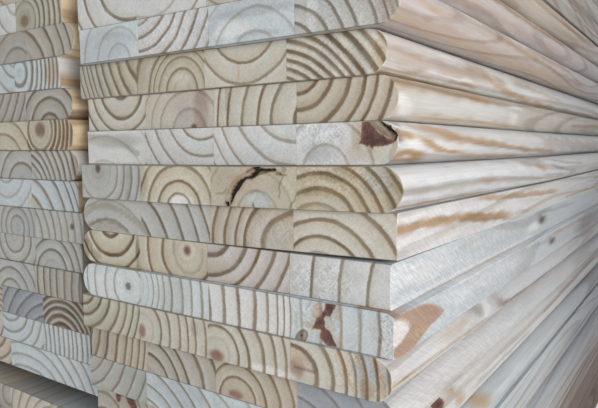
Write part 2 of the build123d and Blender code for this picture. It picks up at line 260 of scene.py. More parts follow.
# Streaks on long sides: tone, strength, half height, points along and up. A vein
# is a crisp one, as brown as the resin lines of the grain.
STREAKS = boards(right={
    24: [("resin", .7, 1.6, (330, 14), (420, 11), (520, 9))],
    23: [("resin", .6, 1.5, (200, 12), (300, 10), (420, 8)), ("leaf", .5, 1.8, (260, 4), (400, 5))],
    22: [("resin", .85, 1.7, (110, 14), (200, 13), (330, 14)), ("leaf", .4, 2, (40, 4), (140, 5), (300, 6)),
         ("snow", .6, 1.2, (60, 17), (160, 17.5), (260, 17))],
    21: [("rose", .7, 1.3, (0, 12), (25, 10.5), (45, 10), (70, 12.5)),
         ("leaf", .25, 3.6, (70, 12), (150, 11), (240, 11)),
         ("leaf", .45, 2.6, (0, 4), (120, 4), (260, 4), (420, 5)),
         ("resin", .6, 1.5, (105, 13), (160, 11), (235, 9)),
         ("resin", .55, 1.4, (180, 14.5), (260, 13), (340, 12)), ("orange", .7, .7, (27, 9.6), (37, 9.2)),
         ("snow", 1, 1.4, (60, 17), (85, 17.5), (100, 16)), ("snow", .9, 1, (0, 17.5), (70, 17.5)),
         ("snow", .6, 2, (150, 17), (200, 15)), ("flesh", .5, 1.6, (230, 8), (300, 7), (400, 6)),
         ("honey", .5, 1.2, (0, 2), (150, 1.5), (400, 1)), ("brown", .4, .5, (25, 5), (30, 5))],
    20: [("snow", 1, 3, (0, 15), (50, 14.5), (75, 13), (100, 16.5)),
         ("snow", 1, 3, (122, 16), (150, 14), (175, 12), (190, 14)),
         ("leaf", .55, 3.4, (0, 8), (40, 8), (70, 8.4), (100, 8.5), (125, 9)),
         ("rose", .5, 1.3, (15, 9), (35, 9.5)), ("rose", .5, 2.4, (95, 12), (118, 13), (126, 10)),
         ("honey", .9, 1.7, (124, 9), (140, 7.6), (165, 5.5), (200, 3.6), (320, 2)),
         ("orange", .5, 1.4, (120, 12), (138, 9)),
         ("snow", .9, .55, (0, 4.4), (50, 4.2), (75, 4.4), (95, 5.4), (125, 5)),
         ("orange", .8, .55, (0, 2.6), (50, 2.6), (60, 2.2)),
         ("orange", .75, .8, (70, 2.8), (95, 3.6), (120, 3)), ("honey", .8, .6, (0, 1), (130, 1)),
         ("orange", .4, 1.5, (178, 13), (200, 11), (260, 10), (340, 8)), ("snow", .6, 2, (200, 6), (300, 5)),
         ("snow", .6, 2, (225, 15), (300, 14.5)), ("rosy", .8, 1.4, (140, 11), (168, 9))],
    19: [("snow", .8, .5, (0, 18.6), (100, 18.4)),
         ("resin", .62, 2.9, (0, 16), (60, 15.6), (110, 15.2), (140, 15.6)),
         ("orange", .5, 1.5, (85, 14.6), (118, 15)), ("orange", .8, .9, (0, 15.2), (11, 15)),
         ("orange", .7, .5, (48, 14.2), (62, 13.8), (80, 13.9), (130, 14.4)),
         ("rose", .5, 2, (120, 15.5), (160, 16)), ("snow", .9, 1.6, (0, 9), (8, 6), (12, 3)),
         ("white", .8, 5, (14, 8), (150, 8)),
         ("honey", 1, .6, (20, 2.2), (60, 2.3), (90, 2.8), (130, 2.6), (200, 2)),
         ("snow", .8, 1.2, (158, 13), (178, 14.6), (192, 13.5)), ("snow", .6, 2.4, (168, 9), (176, 5)),
         ("taupe", .5, 1.8, (200, 15), (300, 14), (400, 13)), ("rosy", .6, 4, (210, 8), (400, 7))],
    18: [("snow", .9, 2.2, (2, 17), (12, 14), (20, 8)), ("snow", .5, 2.6, (30, 11), (60, 9.5), (90, 8)),
         ("snow", .8, .8, (10, 18.6), (60, 18)),
         ("rose", .95, 1.7, (14, 17.2), (40, 15.6), (60, 14.6), (80, 13)),
         ("orange", .8, 1.4, (50, 12.8), (76, 11.8)),
         ("resin", .5, 2.4, (24, 13.6), (60, 12), (100, 10.6), (150, 8.6)),
         ("resin", .72, 1.5, (66, 12.2), (85, 11.2), (105, 10.4), (130, 9.4), (160, 8), (200, 6), (300, 4)),
         ("brown", .45, .5, (80, 10), (105, 9), (160, 7), (230, 5)),
         ("orange", .95, 1, (12, 12.6), (20, 12.2), (28, 10.4), (36, 8.4), (45, 6.6), (60, 5.4), (85, 4.4)),
         ("orange", 1, 1.7, (6, 13.2), (12, 12.8)),
         ("orange", 1, 1.5, (3, 4.4), (12, 5.4), (20, 4.2), (30, 2.6)),
         ("orange", .8, .8, (2, 2), (16, 2.2), (30, 1.4)), ("rose", .8, 1, (60, 3.8), (120, 2.8), (200, 2)),
         ("brown", .8, 1.2, (.6, 15), (1.4, 11)), ("brown", .7, .5, (4, 18), (8, 17)),
         ("torn", .45, 5, (245, 11), (400, 9), (600, 7)), ("snow", .4, 2.5, (100, 15), (250, 13))],
    17: [("snow", .7, 3.8, (0, 15), (200, 14.5)),
         ("taupe", .6, 1.9, (0, 8.6), (60, 8.2), (112, 8.6), (130, 7.5), (240, 5)),
         ("moss", .15, 1.2, (12, 8.6), (28, 8.6)), ("rose", .8, 1.4, (95, 8.8), (120, 8.6)),
         ("rose", .9, .7, (0, 2.6), (60, 2.4), (120, 2)), ("slate", .5, .5, (0, 4.4), (130, 4)),
         ("rosy", .6, 2, (185, 16), (205, 15)), ("rose", .8, 1.6, (214, 14), (228, 12.6), (238, 11)),
         ("slate", .8, .9, (250, 15), (280, 11), (330, 7), (400, 6)),
         ("slate", .7, 1.2, (228, 7), (300, 5), (380, 4)),
         ("slate", .7, .9, (260, 18), (310, 14), (400, 11))],
    16: [("resin", .9, 2.4, (4, 12), (30, 12), (60, 11.2), (80, 9.6), (120, 6.6), (165, 2.6)),
         ("brown", .3, 1.4, (46, 12), (52, 12)), ("brown", .4, .9, (84, 8), (120, 5.2), (165, 1.6)),
         ("brown", .3, .5, (4, 13.6), (40, 13.6)),
         ("orange", .8, 1.6, (90, 18.6), (120, 17), (160, 15.4), (200, 14), (300, 10.5)),
         ("brown", .45, .5, (130, 15.6), (160, 14.2), (200, 12.8), (290, 9.6)),
         ("snow", .45, 2.4, (0, 16.5), (70, 16)), ("snow", .35, 3, (0, 5), (70, 4)),
         ("snow", .3, 2, (60, 14.6), (120, 11.6), (200, 8)), ("rosy", .7, 1.2, (165, 4), (210, 3))],
    15: [("snow", .5, 5, (0, 12), (60, 11)), ("snow", .9, 3, (222, 7), (246, 8)),
         ("slate", .5, 1.3, (240, 16), (300, 14), (400, 12)), ("mud", .6, 3, (252, 11), (266, 9.4)),
         ("soot", .9, 2.3, (256, 9.6), (262, 10.4)), ("honey", .8, .45, (20, .2), (120, .2), (200, .3)),
         # The snow streak along the bottom edge of this side is a painted highlight
         ("snow", .5, 1, (0, 1.2), (100, 1.4), (240, 1.4)), ("honey", .3, 1.2, (80, 14.5), (100, 14))],
    14: [("snow", .3, 4, (56, 13), (200, 11)), ("snow", .9, 1.5, (205, 17.5), (236, 17.5)),
         ("slate", .4, 1.6, (225, 15), (300, 12)), ("olive", .8, 1, (200, 2), (210, 2)),
         # The snow streak along the top edge, over onto the ledge, is a painted highlight
         ("snow", .6, 1.2, (54, 19.2), (200, 19.2), (600, 19.2)), ("mud", .6, 2.9, (279, 11.4), (292, 10)),
         ("soot", .9, 2.1, (283, 10.4), (288, 11)), ("mud", .5, 7, (395, 8), (470, 8), (560, 7))],
    13: [("orange", .9, 1.2, (3, 8.3), (15, 8.2)), ("vein", .5, .5, (14, 8), (60, 7.2), (120, 6)),
         ("taupe", .8, .7, (40, 3.5), (110, 3), (150, 2.6)), ("rose", .5, 2.6, (56, 13), (92, 13)),
         ("bark", .6, 1.6, (100, 18), (110, 14), (117, 11)),
         ("snow", 1, 1.6, (121, 17), (126, 12), (122, 8)),
         ("brown", .8, 1.5, (135, 18.5), (141, 13), (150, 8.8), (165, 6.5), (200, 5), (300, 4))],
    12: [("taupe", .6, 2, (28, 12), (60, 8), (110, 8)), ("blue", .5, 3, (120, 14), (300, 12))],
    11: [("orange", .7, 1.2, (68, 19), (76, 15), (84, 9)), ("taupe", .8, 1, (90, 10), (150, 9.5), (230, 9)),
         ("snow", .6, 1.5, (60, 15), (160, 14)), ("snow", .5, 2.5, (100, 4), (240, 5)),
         ("snow", .7, 4, (320, 5), (350, 3))],
    10: [("honey", .9, 2.2, (104, 18), (112, 15), (120, 14)), ("slate", .6, 2.4, (140, 6), (240, 5)),
         ("olive", .6, 3.5, (310, 6), (340, 4)), ("snow", .4, 2, (120, 13), (300, 11))],
}, left={
    22: [("orange", .5, 5, (0, 6), (300, 6))],
    20: [("orange", .9, 4.5, (0, 4), (300, 4))],
    19: [("brown", .7, 4, (0, 3), (300, 3))],
    17: [("orange", .6, 4, (0, 3), (300, 3))],
})
# Outlined patches on right sides: outline along and up, tone, strength, how soft its edge is
SIDE_PATCHES = boards(right={
    14: [([(-3, 20), (8, 19), (24, 18.4), (33, 17.2), (40, 15.4), (47, 12.8), (52, 10.2), (53.5, 8.8),
          (52, 7.4), (45, 6.2), (38, 5.4), (33, 4), (26, 1.8), (20, 0), (4, -1), (-3, 3)], "leaf", .95, .6),
         ([(-3, 17.2), (4, 17), (10, 15), (14, 12.4), (15, 10.4), (12, 8.6), (8, 6.6), (3, 5.6),
          (-3, 5)], "snow", .85, 1.2),
         ([(26, 16.6), (34, 15.4), (42, 12.6), (49, 9.6), (44, 9), (36, 10.6)], "torn", .5, 1),
         ([(13, 6), (20, 3), (28, 4), (34, 6.6), (28, 9), (20, 9)], "honey", .3, 1.5)],
})
# Sawn and torn grain: patches on near ends as above, and the share along right sides
ROUGH_ENDS = boards(right={
    21: [(75, 10, 26, 10, .5), (176, 8, 26, 10, .6)],
    20: [(176, 8, 28, 10, .5)],
    18: [(163, 14, 13, 5.5, 1.2), (162, 4, 14, 4, .5)],
    17: [(176, 14, 26, 6, .8)],
    16: [(135, 9, 16, 10, .5)],
    15: [(166, 8, 17, 9, .8)],
    14: [(197, 9.5, 4.5, 10, 1.4), (163, 12, 14, 8, .6)],
    13: [(185, 10, 16, 9, .5)],
})
ROUGH_SIDES = boards(right={
    20: .2, 17: .25, 16: .6, 15: 1, 14: .9, 13: .5, 12: .7, 11: .4,
})
# The share of other surfaces and of other right sides, and how far along it fades
PLAIN_ROUGH, PLAIN_ROUGH_SIDE, ROUGH_FADE = 0.12, 0.1, (420, 60)
# The near right corner of this board stands off the board below, and the
# boards above it follow, less and less: heights in the stack and the lift there
LIFT_HEIGHTS = (285.0, 304.0, 323.0, 342.0, 361.0, 380.0)
LIFTS = (2.0, 2.0, 1.5, 0.7, 0.4, 0.0)
LIFT_FROM, LIFT_REACH = 60.0, 260.0  # where it starts across, and how far along it goes
# This board stands out under the next one, and its top right edge is eased
EASED_BOARD, EASED_WIDTH, EASED_DROP = "right_board_14", 3.4, 1.5
# Tones of right sides, and the tones and the streaks that chance picks from
SIDE_TONES = boards(right={
    25: "cream", 24: "taupe", 23: "peach", 22: "pink", 21: "pink", 20: "white", 19: "cream", 18: "white",
    17: "white", 16: "white", 15: "blue", 14: "blue", 13: "white", 12: "white", 11: "white", 10: "blue",
    9: "blue", 8: "blue", 7: "blue", 6: "white",
}, left={
    # The left column's right sides have their pale warm wood made paler still, a painted light where the
    # lamps reach them little
    22: "blond", 21: "blond", 20: "snow", 19: "blond", 18: "blond", 17: "snow", 16: "blond",
})
CHANCE_TONES = ["cream", "white", "grey", "blue", "taupe", "yellow", "peach", "pink", "tan"]
CHANCE_STREAKS = ["rose", "rose", "taupe", "slate", "snow", "tan", "vein"]
LINEAR = {name: np.power((np.array(tone) / 100 + 0.055) / 1.055, 2.4) for name, tone in TONES.items()}


def smooth(low, high, value):
    """0 at low and 1 at high, with a soft start and end."""
    t = np.clip((value - low) / (high - low), 0, 1)
    return t * t * (3 - 2 * t)


# Geometry of one stave

# Steps along a board from its near end: up to where, and how long
STATIONS = {
    "close": ((140, 2.5), (400, 6), (600, 20), (1200, 60)), "shown": ((240, 5), (600, 15), (1200, 60)),
    "plain": ((240, 12), (600, 25), (1200, 60)), "hidden": ((200, 25), (1200, 100)),
}
LAST_GAP = 10   # none lies nearer to the far end than this, but for the rim's
RIM_REACH = 12  # how far in from the rim an end's cells are drawn together


def stations(length, level):
    steps, start = [], 0
    for reach, step in STATIONS[level]:
        steps.append(np.arange(start, min(reach, length), step))
        start = reach
    inside = np.concatenate(steps)[1:]
    rim = np.array([RIM, 2 * RIM])
    return np.concatenate([rim, inside[inside < length - LAST_GAP], length - rim[::-1]])


def section(u, v, left, right, thick, nose):
    """Point of a stave's cross section: u from left to right and v from bottom to top, both 0 to 1."""
    half = thick / 2
    if nose:
        up = half * np.sin((v - 0.5) * math.pi)
        inset = half - np.sqrt(np.maximum(half * half - up * up, 0))
    else:
        up = (v - 0.5) * thick
        inset = np.zeros_like(v)
    low = left + (inset if nose == "left" else 0)
    high = right - (inset if nose == "right" else 0)
    return low + u * (high - low), half + up


def loop_parameters(across, up):
    """u and v round a stave: along the bottom, up the right, back along the top and down the left."""
    a, b = np.arange(across) / across, np.arange(up) / up
    u = np.concatenate([a, np.ones(up), 1 - a, np.zeros(up)])
    v = np.concatenate([np.zeros(across), b, np.ones(across), 1 - b])
    return u, v


def grid_border(across, up):
    """Indices of a grid's border points, in the order of loop_parameters."""
    row = across + 1
    bottom, right = np.arange(across), across + row * np.arange(up)
    top, left = row * up + across - np.arange(across), row * (up - np.arange(up))
    return np.concatenate([bottom, right, top, left])


def bridge(coarse, fine, counts):
    """Triangles between a coarse loop and a fine one, which has counts of edges beside each coarse edge."""
    triangles = []
    start = 0
    for i, many in enumerate(counts):
        c0, c1 = coarse[i], coarse[(i + 1) % len(coarse)]
        beside = [fine[(start + m) % len(fine)] for m in range(many + 1)]
        middle = many // 2
        triangles += [(c0, beside[m], beside[m + 1]) for m in range(middle)]
        triangles.append((c0, beside[middle], c1))
        triangles += [(c1, beside[m], beside[m + 1]) for m in range(middle, many)]
        start += many
    return triangles


def stave_mesh(left, right, thick, length, nose, outer, detail):
    """One closed stave: points, how many of them are its skin's, and quads and triangles with their sides."""
    across, up = detail["skin"]
    x, z = section(*loop_parameters(across, up), left, right, thick, nose)
    ys = stations(length, detail["along"])
    count, rows = len(x), len(ys) - 1
    loop = np.arange(count)
    first, after = (count * np.arange(rows)[:, None] + i for i in (loop, (loop + 1) % count))
    points = [np.stack([np.tile(x, len(ys)), np.repeat(ys, count), np.tile(z, len(ys))], 1)]
    quads = [np.stack([first, after, after + count, first + count], -1).reshape(-1, 4)]
    quad_sides = [np.tile(np.repeat(["bottom", "right", "top", "left"], [across, up, across, up]), rows)]
    triangles, triangle_sides = [], []
    offset = skin_count = len(points[0])
    for end in ("near", "far"):
        cells, levels = detail[end]
        v, u = np.meshgrid(np.arange(levels + 1) / levels, np.arange(cells + 1) / cells, indexing="ij")
        x, z = section(u.ravel(), v.ravel(), left, right, thick, nose)
        rim_left, rim_right = (RIM if side in outer else 0.0 for side in ("left", "right"))
        x = np.where(x < (left + right) / 2, x + rim_left * smooth(RIM_REACH, 0, x - left),
                     x - rim_right * smooth(RIM_REACH, 0, right - x))
        z = thick / 2 + (z - thick / 2) * (1 - 2 * RIM / thick)
        points.append(np.stack([x, np.full(len(x), 0.0 if end == "near" else length), z], 1))
        grid = offset + np.arange(len(x)).reshape(levels + 1, cells + 1)
        a, b, c, d = grid[:-1, :-1], grid[:-1, 1:], grid[1:, 1:], grid[1:, :-1]
        order = (a, b, c, d) if end == "near" else (a, d, c, b)
        quads.append(np.stack([corner.ravel() for corner in order], 1))
        quad_sides.append(np.full(cells * levels, end))
        counts = [cells // across] * across + [levels // up] * up
        ring = loop + (0 if end == "near" else rows * count)
        found = bridge(list(ring), list(offset + grid_border(cells, levels)), counts + counts)
        triangles += [t[::-1] for t in found] if end == "near" else found
        triangle_sides += [end] * len(found)
        offset += len(x)
    return (np.concatenate(points), skin_count, (np.concatenate(quads), np.concatenate(quad_sides)),
            (np.array(triangles), np.array(triangle_sides)))


# Wood of one stave

def ring_coordinate(radius, radii):
    """1 at the first ring, 2 at the second and so on, and between them in proportion."""
    radii = np.array(radii, float)
    if len(radii) == 1:
        radii = np.array([radii[0], radii[0] + DEFAULT_STEP])
    inner, outer = radii[1] - radii[0], radii[-1] - radii[-2]
    result = np.interp(radius, radii, np.arange(1, len(radii) + 1))
    result = np.where(radius < radii[0], 1 - (radii[0] - radius) / inner, result)
    return np.where(radius > radii[-1], len(radii) + (radius - radii[-1]) / outer, result)


def chance_stave(rng, left):
    """A stave's wood by chance: tone, strength, pith and rings."""
    tone = CHANCE_TONES[rng.integers(len(CHANCE_TONES))]
    across = left + rng.uniform(-5, 55)
    up = rng.choice([rng.uniform(-22, 0), rng.uniform(19, 38), rng.uniform(3, 16)])
    radii = rng.uniform(6, 12) + np.cumsum(rng.uniform(4.0, 10.5, 8))
    return tone, rng.uniform(0.4, 0.95), (across, up), tuple(radii)


def chance_streaks(rng, start, thick):
    """Streaks along a long side by chance, from start on."""
    streaks = []
    for _ in range(rng.integers(9, 14)):
        begin = rng.uniform(start, 1000)
        end = begin + rng.uniform(120, 500)
        up, rise, bow = rng.uniform(1, thick - 1), rng.normal(0, 3.5), rng.normal(0, 2)
        tone = CHANCE_STREAKS[rng.integers(len(CHANCE_STREAKS))]
        half = rng.uniform(0.3, 0.6) if tone == "vein" else rng.uniform(0.5, 2.0)
        streaks.append((tone, rng.uniform(0.25, 0.65), half,
                        (begin, up), ((begin + end) / 2, up + rise / 2 + bow), (end, up + rise)))
    return streaks


def reach(x, z, patch):
    """How far out in a patch a point lies: 0 in the middle and 1 at the edge."""
    a, b, half_width, half_height = patch
    return np.hypot((x - a) / half_width, (z - b) / half_height)


def ellipse_distance(x, z, patch):
    """About how far a point lies outside a patch, less than 0 inside it."""
    away = reach(x, z, patch)
    return (away - 1) * min(patch[2:]) * (0.6 + 0.4 * away)


def path_distance(a, b, path):
    """How far a point lies from a line through the path's points, or from its edge if it has half widths."""
    best = np.full(a.shape, 1e6)
    for (a0, b0, *w0), (a1, b1, *w1) in zip(path[:-1], path[1:]):
        run = (a1 - a0) ** 2 + (b1 - b0) ** 2
        t = np.clip(((a - a0) * (a1 - a0) + (b - b0) * (b1 - b0)) / run, 0, 1)
        half = w0[0] + t * (w1[0] - w0[0]) if w0 else 0
        best = np.minimum(best, np.hypot(a - a0 - t * (a1 - a0), b - b0 - t * (b1 - b0)) - half)
    return best


def outline_distance(a, b, outline):
    """How far a point lies outside a closed outline, less than 0 inside it."""
    inside = np.zeros(a.shape, bool)
    for (a0, b0), (a1, b1) in zip(outline, outline[1:] + outline[:1]):
        if b0 != b1:
            inside ^= ((b0 > b) != (b1 > b)) & (a < a0 + (b - b0) * (a1 - a0) / (b1 - b0))
    away = path_distance(a, b, outline + outline[:1])
    return np.where(inside, -away, away)


def streak_distance(y, z, path):
    return path_distance(y / STRETCH, z, [(a / STRETCH, b) for a, b in path])


def streak_share(y, z, path, half):
    """How much of a streak's tone a point has. Its edges are soft and wavy, and it fades at both ends."""
    (first, low), last = path[0], path[-1][0]
    wave = 1 + 0.25 * np.sin(y / 7.3 + z / 2.1 + first + low) + 0.18 * np.sin(y / 3.6 - z / 1.3 + low)
    fade, round_end = min(25.0, 0.3 * (last - first)), STRETCH * half
    begins = 1.0 if first < 5 else smooth(first - round_end, first + fade, y)
    share = smooth(1.4, 0.4, streak_distance(y, z, path) / (half * wave))
    return share * begins * smooth(last + round_end, last - fade, y)


def painted(tone, where, other, amount):
    """Blends a tone towards another one, on the points where a mask is set."""
    return tone + (LINEAR[other] - tone) * (where * np.clip(amount, 0, 1))[:, None]


def nearest(best, where, away):
    return np.where(where, np.minimum(best, away), best)


def drift(y, slope, swing, wave, phase):
    """How far the pith wanders along the board."""
    return slope * y + swing * (np.sin(y / wave * FULL_TURN + phase) - math.sin(phase))


def wood(name, stave, points, skin_count, rng, thick):
    """The fields that the pine material reads, one value for each point of a stave."""
    x, y, z = points.T
    on_end = np.arange(len(points)) >= skin_count
    near = on_end & (y < NEAR_END)
    told = ([None] * STAVES + ENDS.get(name, []))[stave - STAVES]
    tone_name, strength, pith, radii = told or chance_stave(rng, stave * STAVE_WIDTH)
    slopes = rng.normal(0, 0.02, 2)
    wave, *phases = rng.uniform(350, 900), rng.uniform(0, FULL_TURN), rng.uniform(0, FULL_TURN)
    swings = rng.uniform(1.5, 5, 2)
    drifts = [drift(y, slope, swing, wave, phase) for slope, swing, phase in zip(slopes, swings, phases)]
    radius = np.hypot(x - pith[0] - drifts[0], z - pith[1] - drifts[1])

    tone = np.tile(LINEAR[tone_name], (len(points), 1)) * rng.uniform(0.96, 1.03)
    right_side = ~on_end & (stave == STAVES - 1) & (x > WIDTH - thick)
    long_side = right_side | (~on_end & (stave == 0) & (x < thick))
    chance_tone = CHANCE_TONES[rng.integers(len(CHANCE_TONES))]
    side_shade = rng.uniform(0.98, 1.03)
    tone = np.where(on_end[:, None], tone, LINEAR[chance_tone] * side_shade)
    tone = np.where(right_side[:, None], LINEAR[SIDE_TONES.get(name, chance_tone)] * side_shade, tone)
    for *patch, other, amount in PATCHES.get(name, []):
        tone = painted(tone, near, other, amount * smooth(1.25, 0.55, reach(x, z, patch)))
    for other, amount, half, *path in STROKES.get(name, []):
        share = smooth(half + 0.45, half - 0.25, path_distance(x, z, path))
        tone = painted(tone, near, other, amount * share)
    vein = np.full(len(points), NO_VEIN)
    streaks = STREAKS.get(name, [])
    for other, amount, half, *path in chance_streaks(rng, STREAK_TOLD if streaks else 0, thick) + streaks:
        if other == "vein":
            inside = amount * (half - streak_distance(y, z, path))
            vein = np.where(long_side, np.maximum(vein, inside), vein)
        else:
            tone = painted(tone, long_side, other, amount * streak_share(y, z, path, half))
    for outline, other, amount, soft in SIDE_PATCHES.get(name, []):
        share = smooth(soft, -soft, outline_distance(y, z, outline))
        tone = painted(tone, right_side, other, amount * share)

    knot, crack = np.full(len(points), UNMARKED), np.full(len(points), UNMARKED)
    for outline in END_KNOTS.get(name, []):
        knot = nearest(knot, near, outline_distance(x, z, outline))
    for mark in SIDE_KNOTS.get(name, []):
        knot = nearest(knot, right_side, ellipse_distance(y, z, mark))
    for path in CRACKS.get(name, []):
        crack = nearest(crack, near, path_distance(x, z, path))
    rough = np.full(len(points), PLAIN_ROUGH)
    for *patch, amount in ROUGH_ENDS.get(name, []):
        rough = np.where(near, np.maximum(rough, amount * smooth(1.15, 0.8, reach(x, z, patch))), rough)
    rough = np.where(right_side, ROUGH_SIDES.get(name, PLAIN_ROUGH_SIDE) * smooth(*ROUGH_FADE, y), rough)

    side = name.split("_")[0]
    if side == "left" and told:
        strength = min(1.0, LEFT_STRENGTH * strength)
    half_line = LINE + HEAVY_LINE * max(0.0, strength - HEAVY_FROM)
    if side == "left":
        half_line *= LEFT_LINE
    # Inside its first ring a told stave has no more of them
    faded = np.where(near & bool(told), smooth(0.55 * radii[0], 0.85 * radii[0], radius), 1.0)
    step = DEFAULT_STEP if len(radii) == 1 else np.mean(np.diff(radii))
    fields = {"ring": ring_coordinate(radius, radii), "knot": knot, "crack": crack, "vein": vein,
              "rough": rough, "contrast": np.where(on_end, strength * faded, SIDE_CONTRAST * strength),
              "tone": with_painted_shade(name, tone, y, z, on_end, right_side, thick)}
    for key, value in (("line", half_line / step), ("tight", 1 / step), ("seed", rng.uniform(0, 40))):
        fields[key] = np.full(len(points), value)
    return fields


def with_painted_shade(name, tone, y, z, on_end, right_side, thick):
    """A stave's tones with painted shade in the joints at its ends, the lowest boards darker and browner,
    painted shade on far right sides, a painted shadow on one top and painted shade on the left column's near
    ends.
    """
    # Painted shade in the joints between boards, on the top and bottom edges right at the ends
    joint_shade = ~on_end & ((y < 1.5 * RIM) | (y > y.max() - 1.5 * RIM)) & ((z < 0.3) | (z > thick - 0.3))
    tone = np.where(joint_shade[:, None], tone * 0.3, tone)
    side, number = name.split("_board_")
    # The lowest boards darker and browner, more so further along and higher up
    low_darkening = np.clip((LOW_DARK + 1 - int(number)) / LOW_DARK_FADE, 0, 1) * LOW_DARK_SHARE[side]
    tone = painted(tone, True, "low_brown", low_darkening * smooth(-200, 200, y + 14 * (z - thick / 2)))
    # Painted shade on the right sides, darker with the distance from the near corner
    far_shade = SHADE_LOW if int(number) < SHADE_BELOW else SHADE_HIGH
    tone = painted(tone, right_side, "falloff_shade", far_shade * (1 - low_darkening) * smooth(SHADE_FROM, SHADE_TO, y)
                   * (1 - 0.5 * smooth(*SHADE_BACK, y)))
    # Painted shadow on the top of the board in front of the recess
    if name == SHADED_BOARD:
        top = ~on_end & (z > thick - 0.1)
        tone = np.where(top[:, None], tone * (1 - SHADED_SHARE * smooth(*SHADED_REACH, y))[:, None], tone)
    # Painted shade on the near ends of the left column
    if side == "left":
        tone = np.where((on_end & (y < NEAR_END))[:, None], tone * LEFT_SHADE, tone)
    return tone


def lifted(name, points):
    """Bends the boards above the gap at the near right corner."""
    if name.startswith("right") and LIFT_HEIGHTS[0] - 1 < points[:, 2].min() < LIFT_HEIGHTS[-1] - 1:
        across = np.clip((points[:, 0] - LIFT_FROM) / (WIDTH - LIFT_FROM), 0, 1)
        along = np.clip(1 - points[:, 1] / LIFT_REACH, 0, 1)
        points[:, 2] += across ** 1.5 * along * np.interp(points[:, 2], LIFT_HEIGHTS, LIFTS)
    return points


def eased(name, points, thick):
    """Lowers the top right edge of the board whose edge is eased."""
    if name == EASED_BOARD:
        out = np.clip((points[:, 0] - WIDTH) / EASED_WIDTH + 1, 0, 1)
        points[:, 2] -= EASED_DROP * out * points[:, 2] / thick
    return points


def relief(points, skin_count, fields):
    """Pushes a stave's surface in where it is cracked or knotted."""
    depth = (CRACK_DEPTH * smooth(0.4, -0.6, fields["crack"])
             + KNOT_DEPTH * smooth(0.5, -1.2, fields["knot"]))
    on_end = np.arange(len(points)) >= skin_count
    inward = np.where(points[:, 1] < NEAR_END, 1, -1)
    points[:, 1] += np.where(on_end, depth * inward, 0)
    points[:, 0] -= np.where(~on_end & (points[:, 1] > 1), depth, 0)
    return points


# Bake layout: for each side of a board, the band of the square it fills
BANDS = {"near": (0.895, 0.99), "far": (0.79, 0.885), "right": (0.66, 0.78), "left": (0.53, 0.65),
         "top": (0.28, 0.52), "bottom": (0.04, 0.27), "inner": (0.005, 0.03)}


def uv_of(points, faces, sides, thick, length, stave, nose):
    """Bake coordinates of each face corner."""
    x, y, z = np.moveaxis(points[faces], -1, 0)
    sides = sides[:, None]
    inner = ((sides == "right") & (stave < STAVES - 1)) | ((sides == "left") & (stave > 0))
    key = np.where(inner, "inner", sides)
    low, high = (np.vectorize(lambda side: BANDS[side][edge])(key) for edge in (0, 1))
    ends = (key == "near") | (key == "far")
    flat = (key == "top") | (key == "bottom")
    up = z / thick
    turn = np.arcsin(np.clip(2 * up - 1, -1, 1)) / math.pi + 0.5
    u = np.where(ends, x / WIDTH, y / length)
    v = np.where(flat, x / WIDTH, np.where(ends, up, turn if nose else up))
    return np.stack([0.01 + 0.98 * u, low + (high - low) * np.clip(v, 0, 1)], -1).reshape(-1, 2)


# Boards whose right side shows resin, knots or tight grain, and staves whose
# near end carries knots or cracks that need fine cells
FINE_SIDES = range(14, 21)
FINE_ENDS = [("right_board_18", 3), ("right_board_17", 2), ("right_board_14", 3)]
TOP_BOARDS = ("right_board_26", "left_board_25")
# Boards whose near ends are seen close by, in each column, and the first stave of them
SHOWN = {"right": (10, 22, 0), "left": (9, 22, 2)}
SHARP_ANGLE = 28


def levels_of_detail(name, stave, nose, outer):
    """How finely a stave is divided. The cells of its ends are multiples of its skin's, across and up."""
    side, number = name.split("_board_")
    number = int(number)
    lowest, highest, first_stave = SHOWN[side]
    corner = lowest <= number <= highest and stave >= first_stave
    top = name in TOP_BOARDS
    shown = side == "right" and stave == STAVES - 1
    close = shown and number in FINE_SIDES
    up = 30 if close else 20 if (nose or shown) else 10 if outer else 5
    across = 10 if top else 15 if (name, stave) == (EASED_BOARD, STAVES - 1) else 5
    near = (40 if top else 50, 30 if close else 20) if corner or top else (20, max(up, 10))
    if (name, stave) in FINE_ENDS:
        near = (150, 60)
    plain = shown and not lowest <= number <= highest
    along = "close" if close else "plain" if plain else "shown" if shown or top else "hidden"
    far = (30 if across == 15 else 20, max(up, 10))
    return {"skin": (across, up), "near": near, "far": far, "along": along}


def add_object(name, data):
    added = bpy.data.objects.new(name, data)
    bpy.context.scene.collection.objects.link(added)
    return added


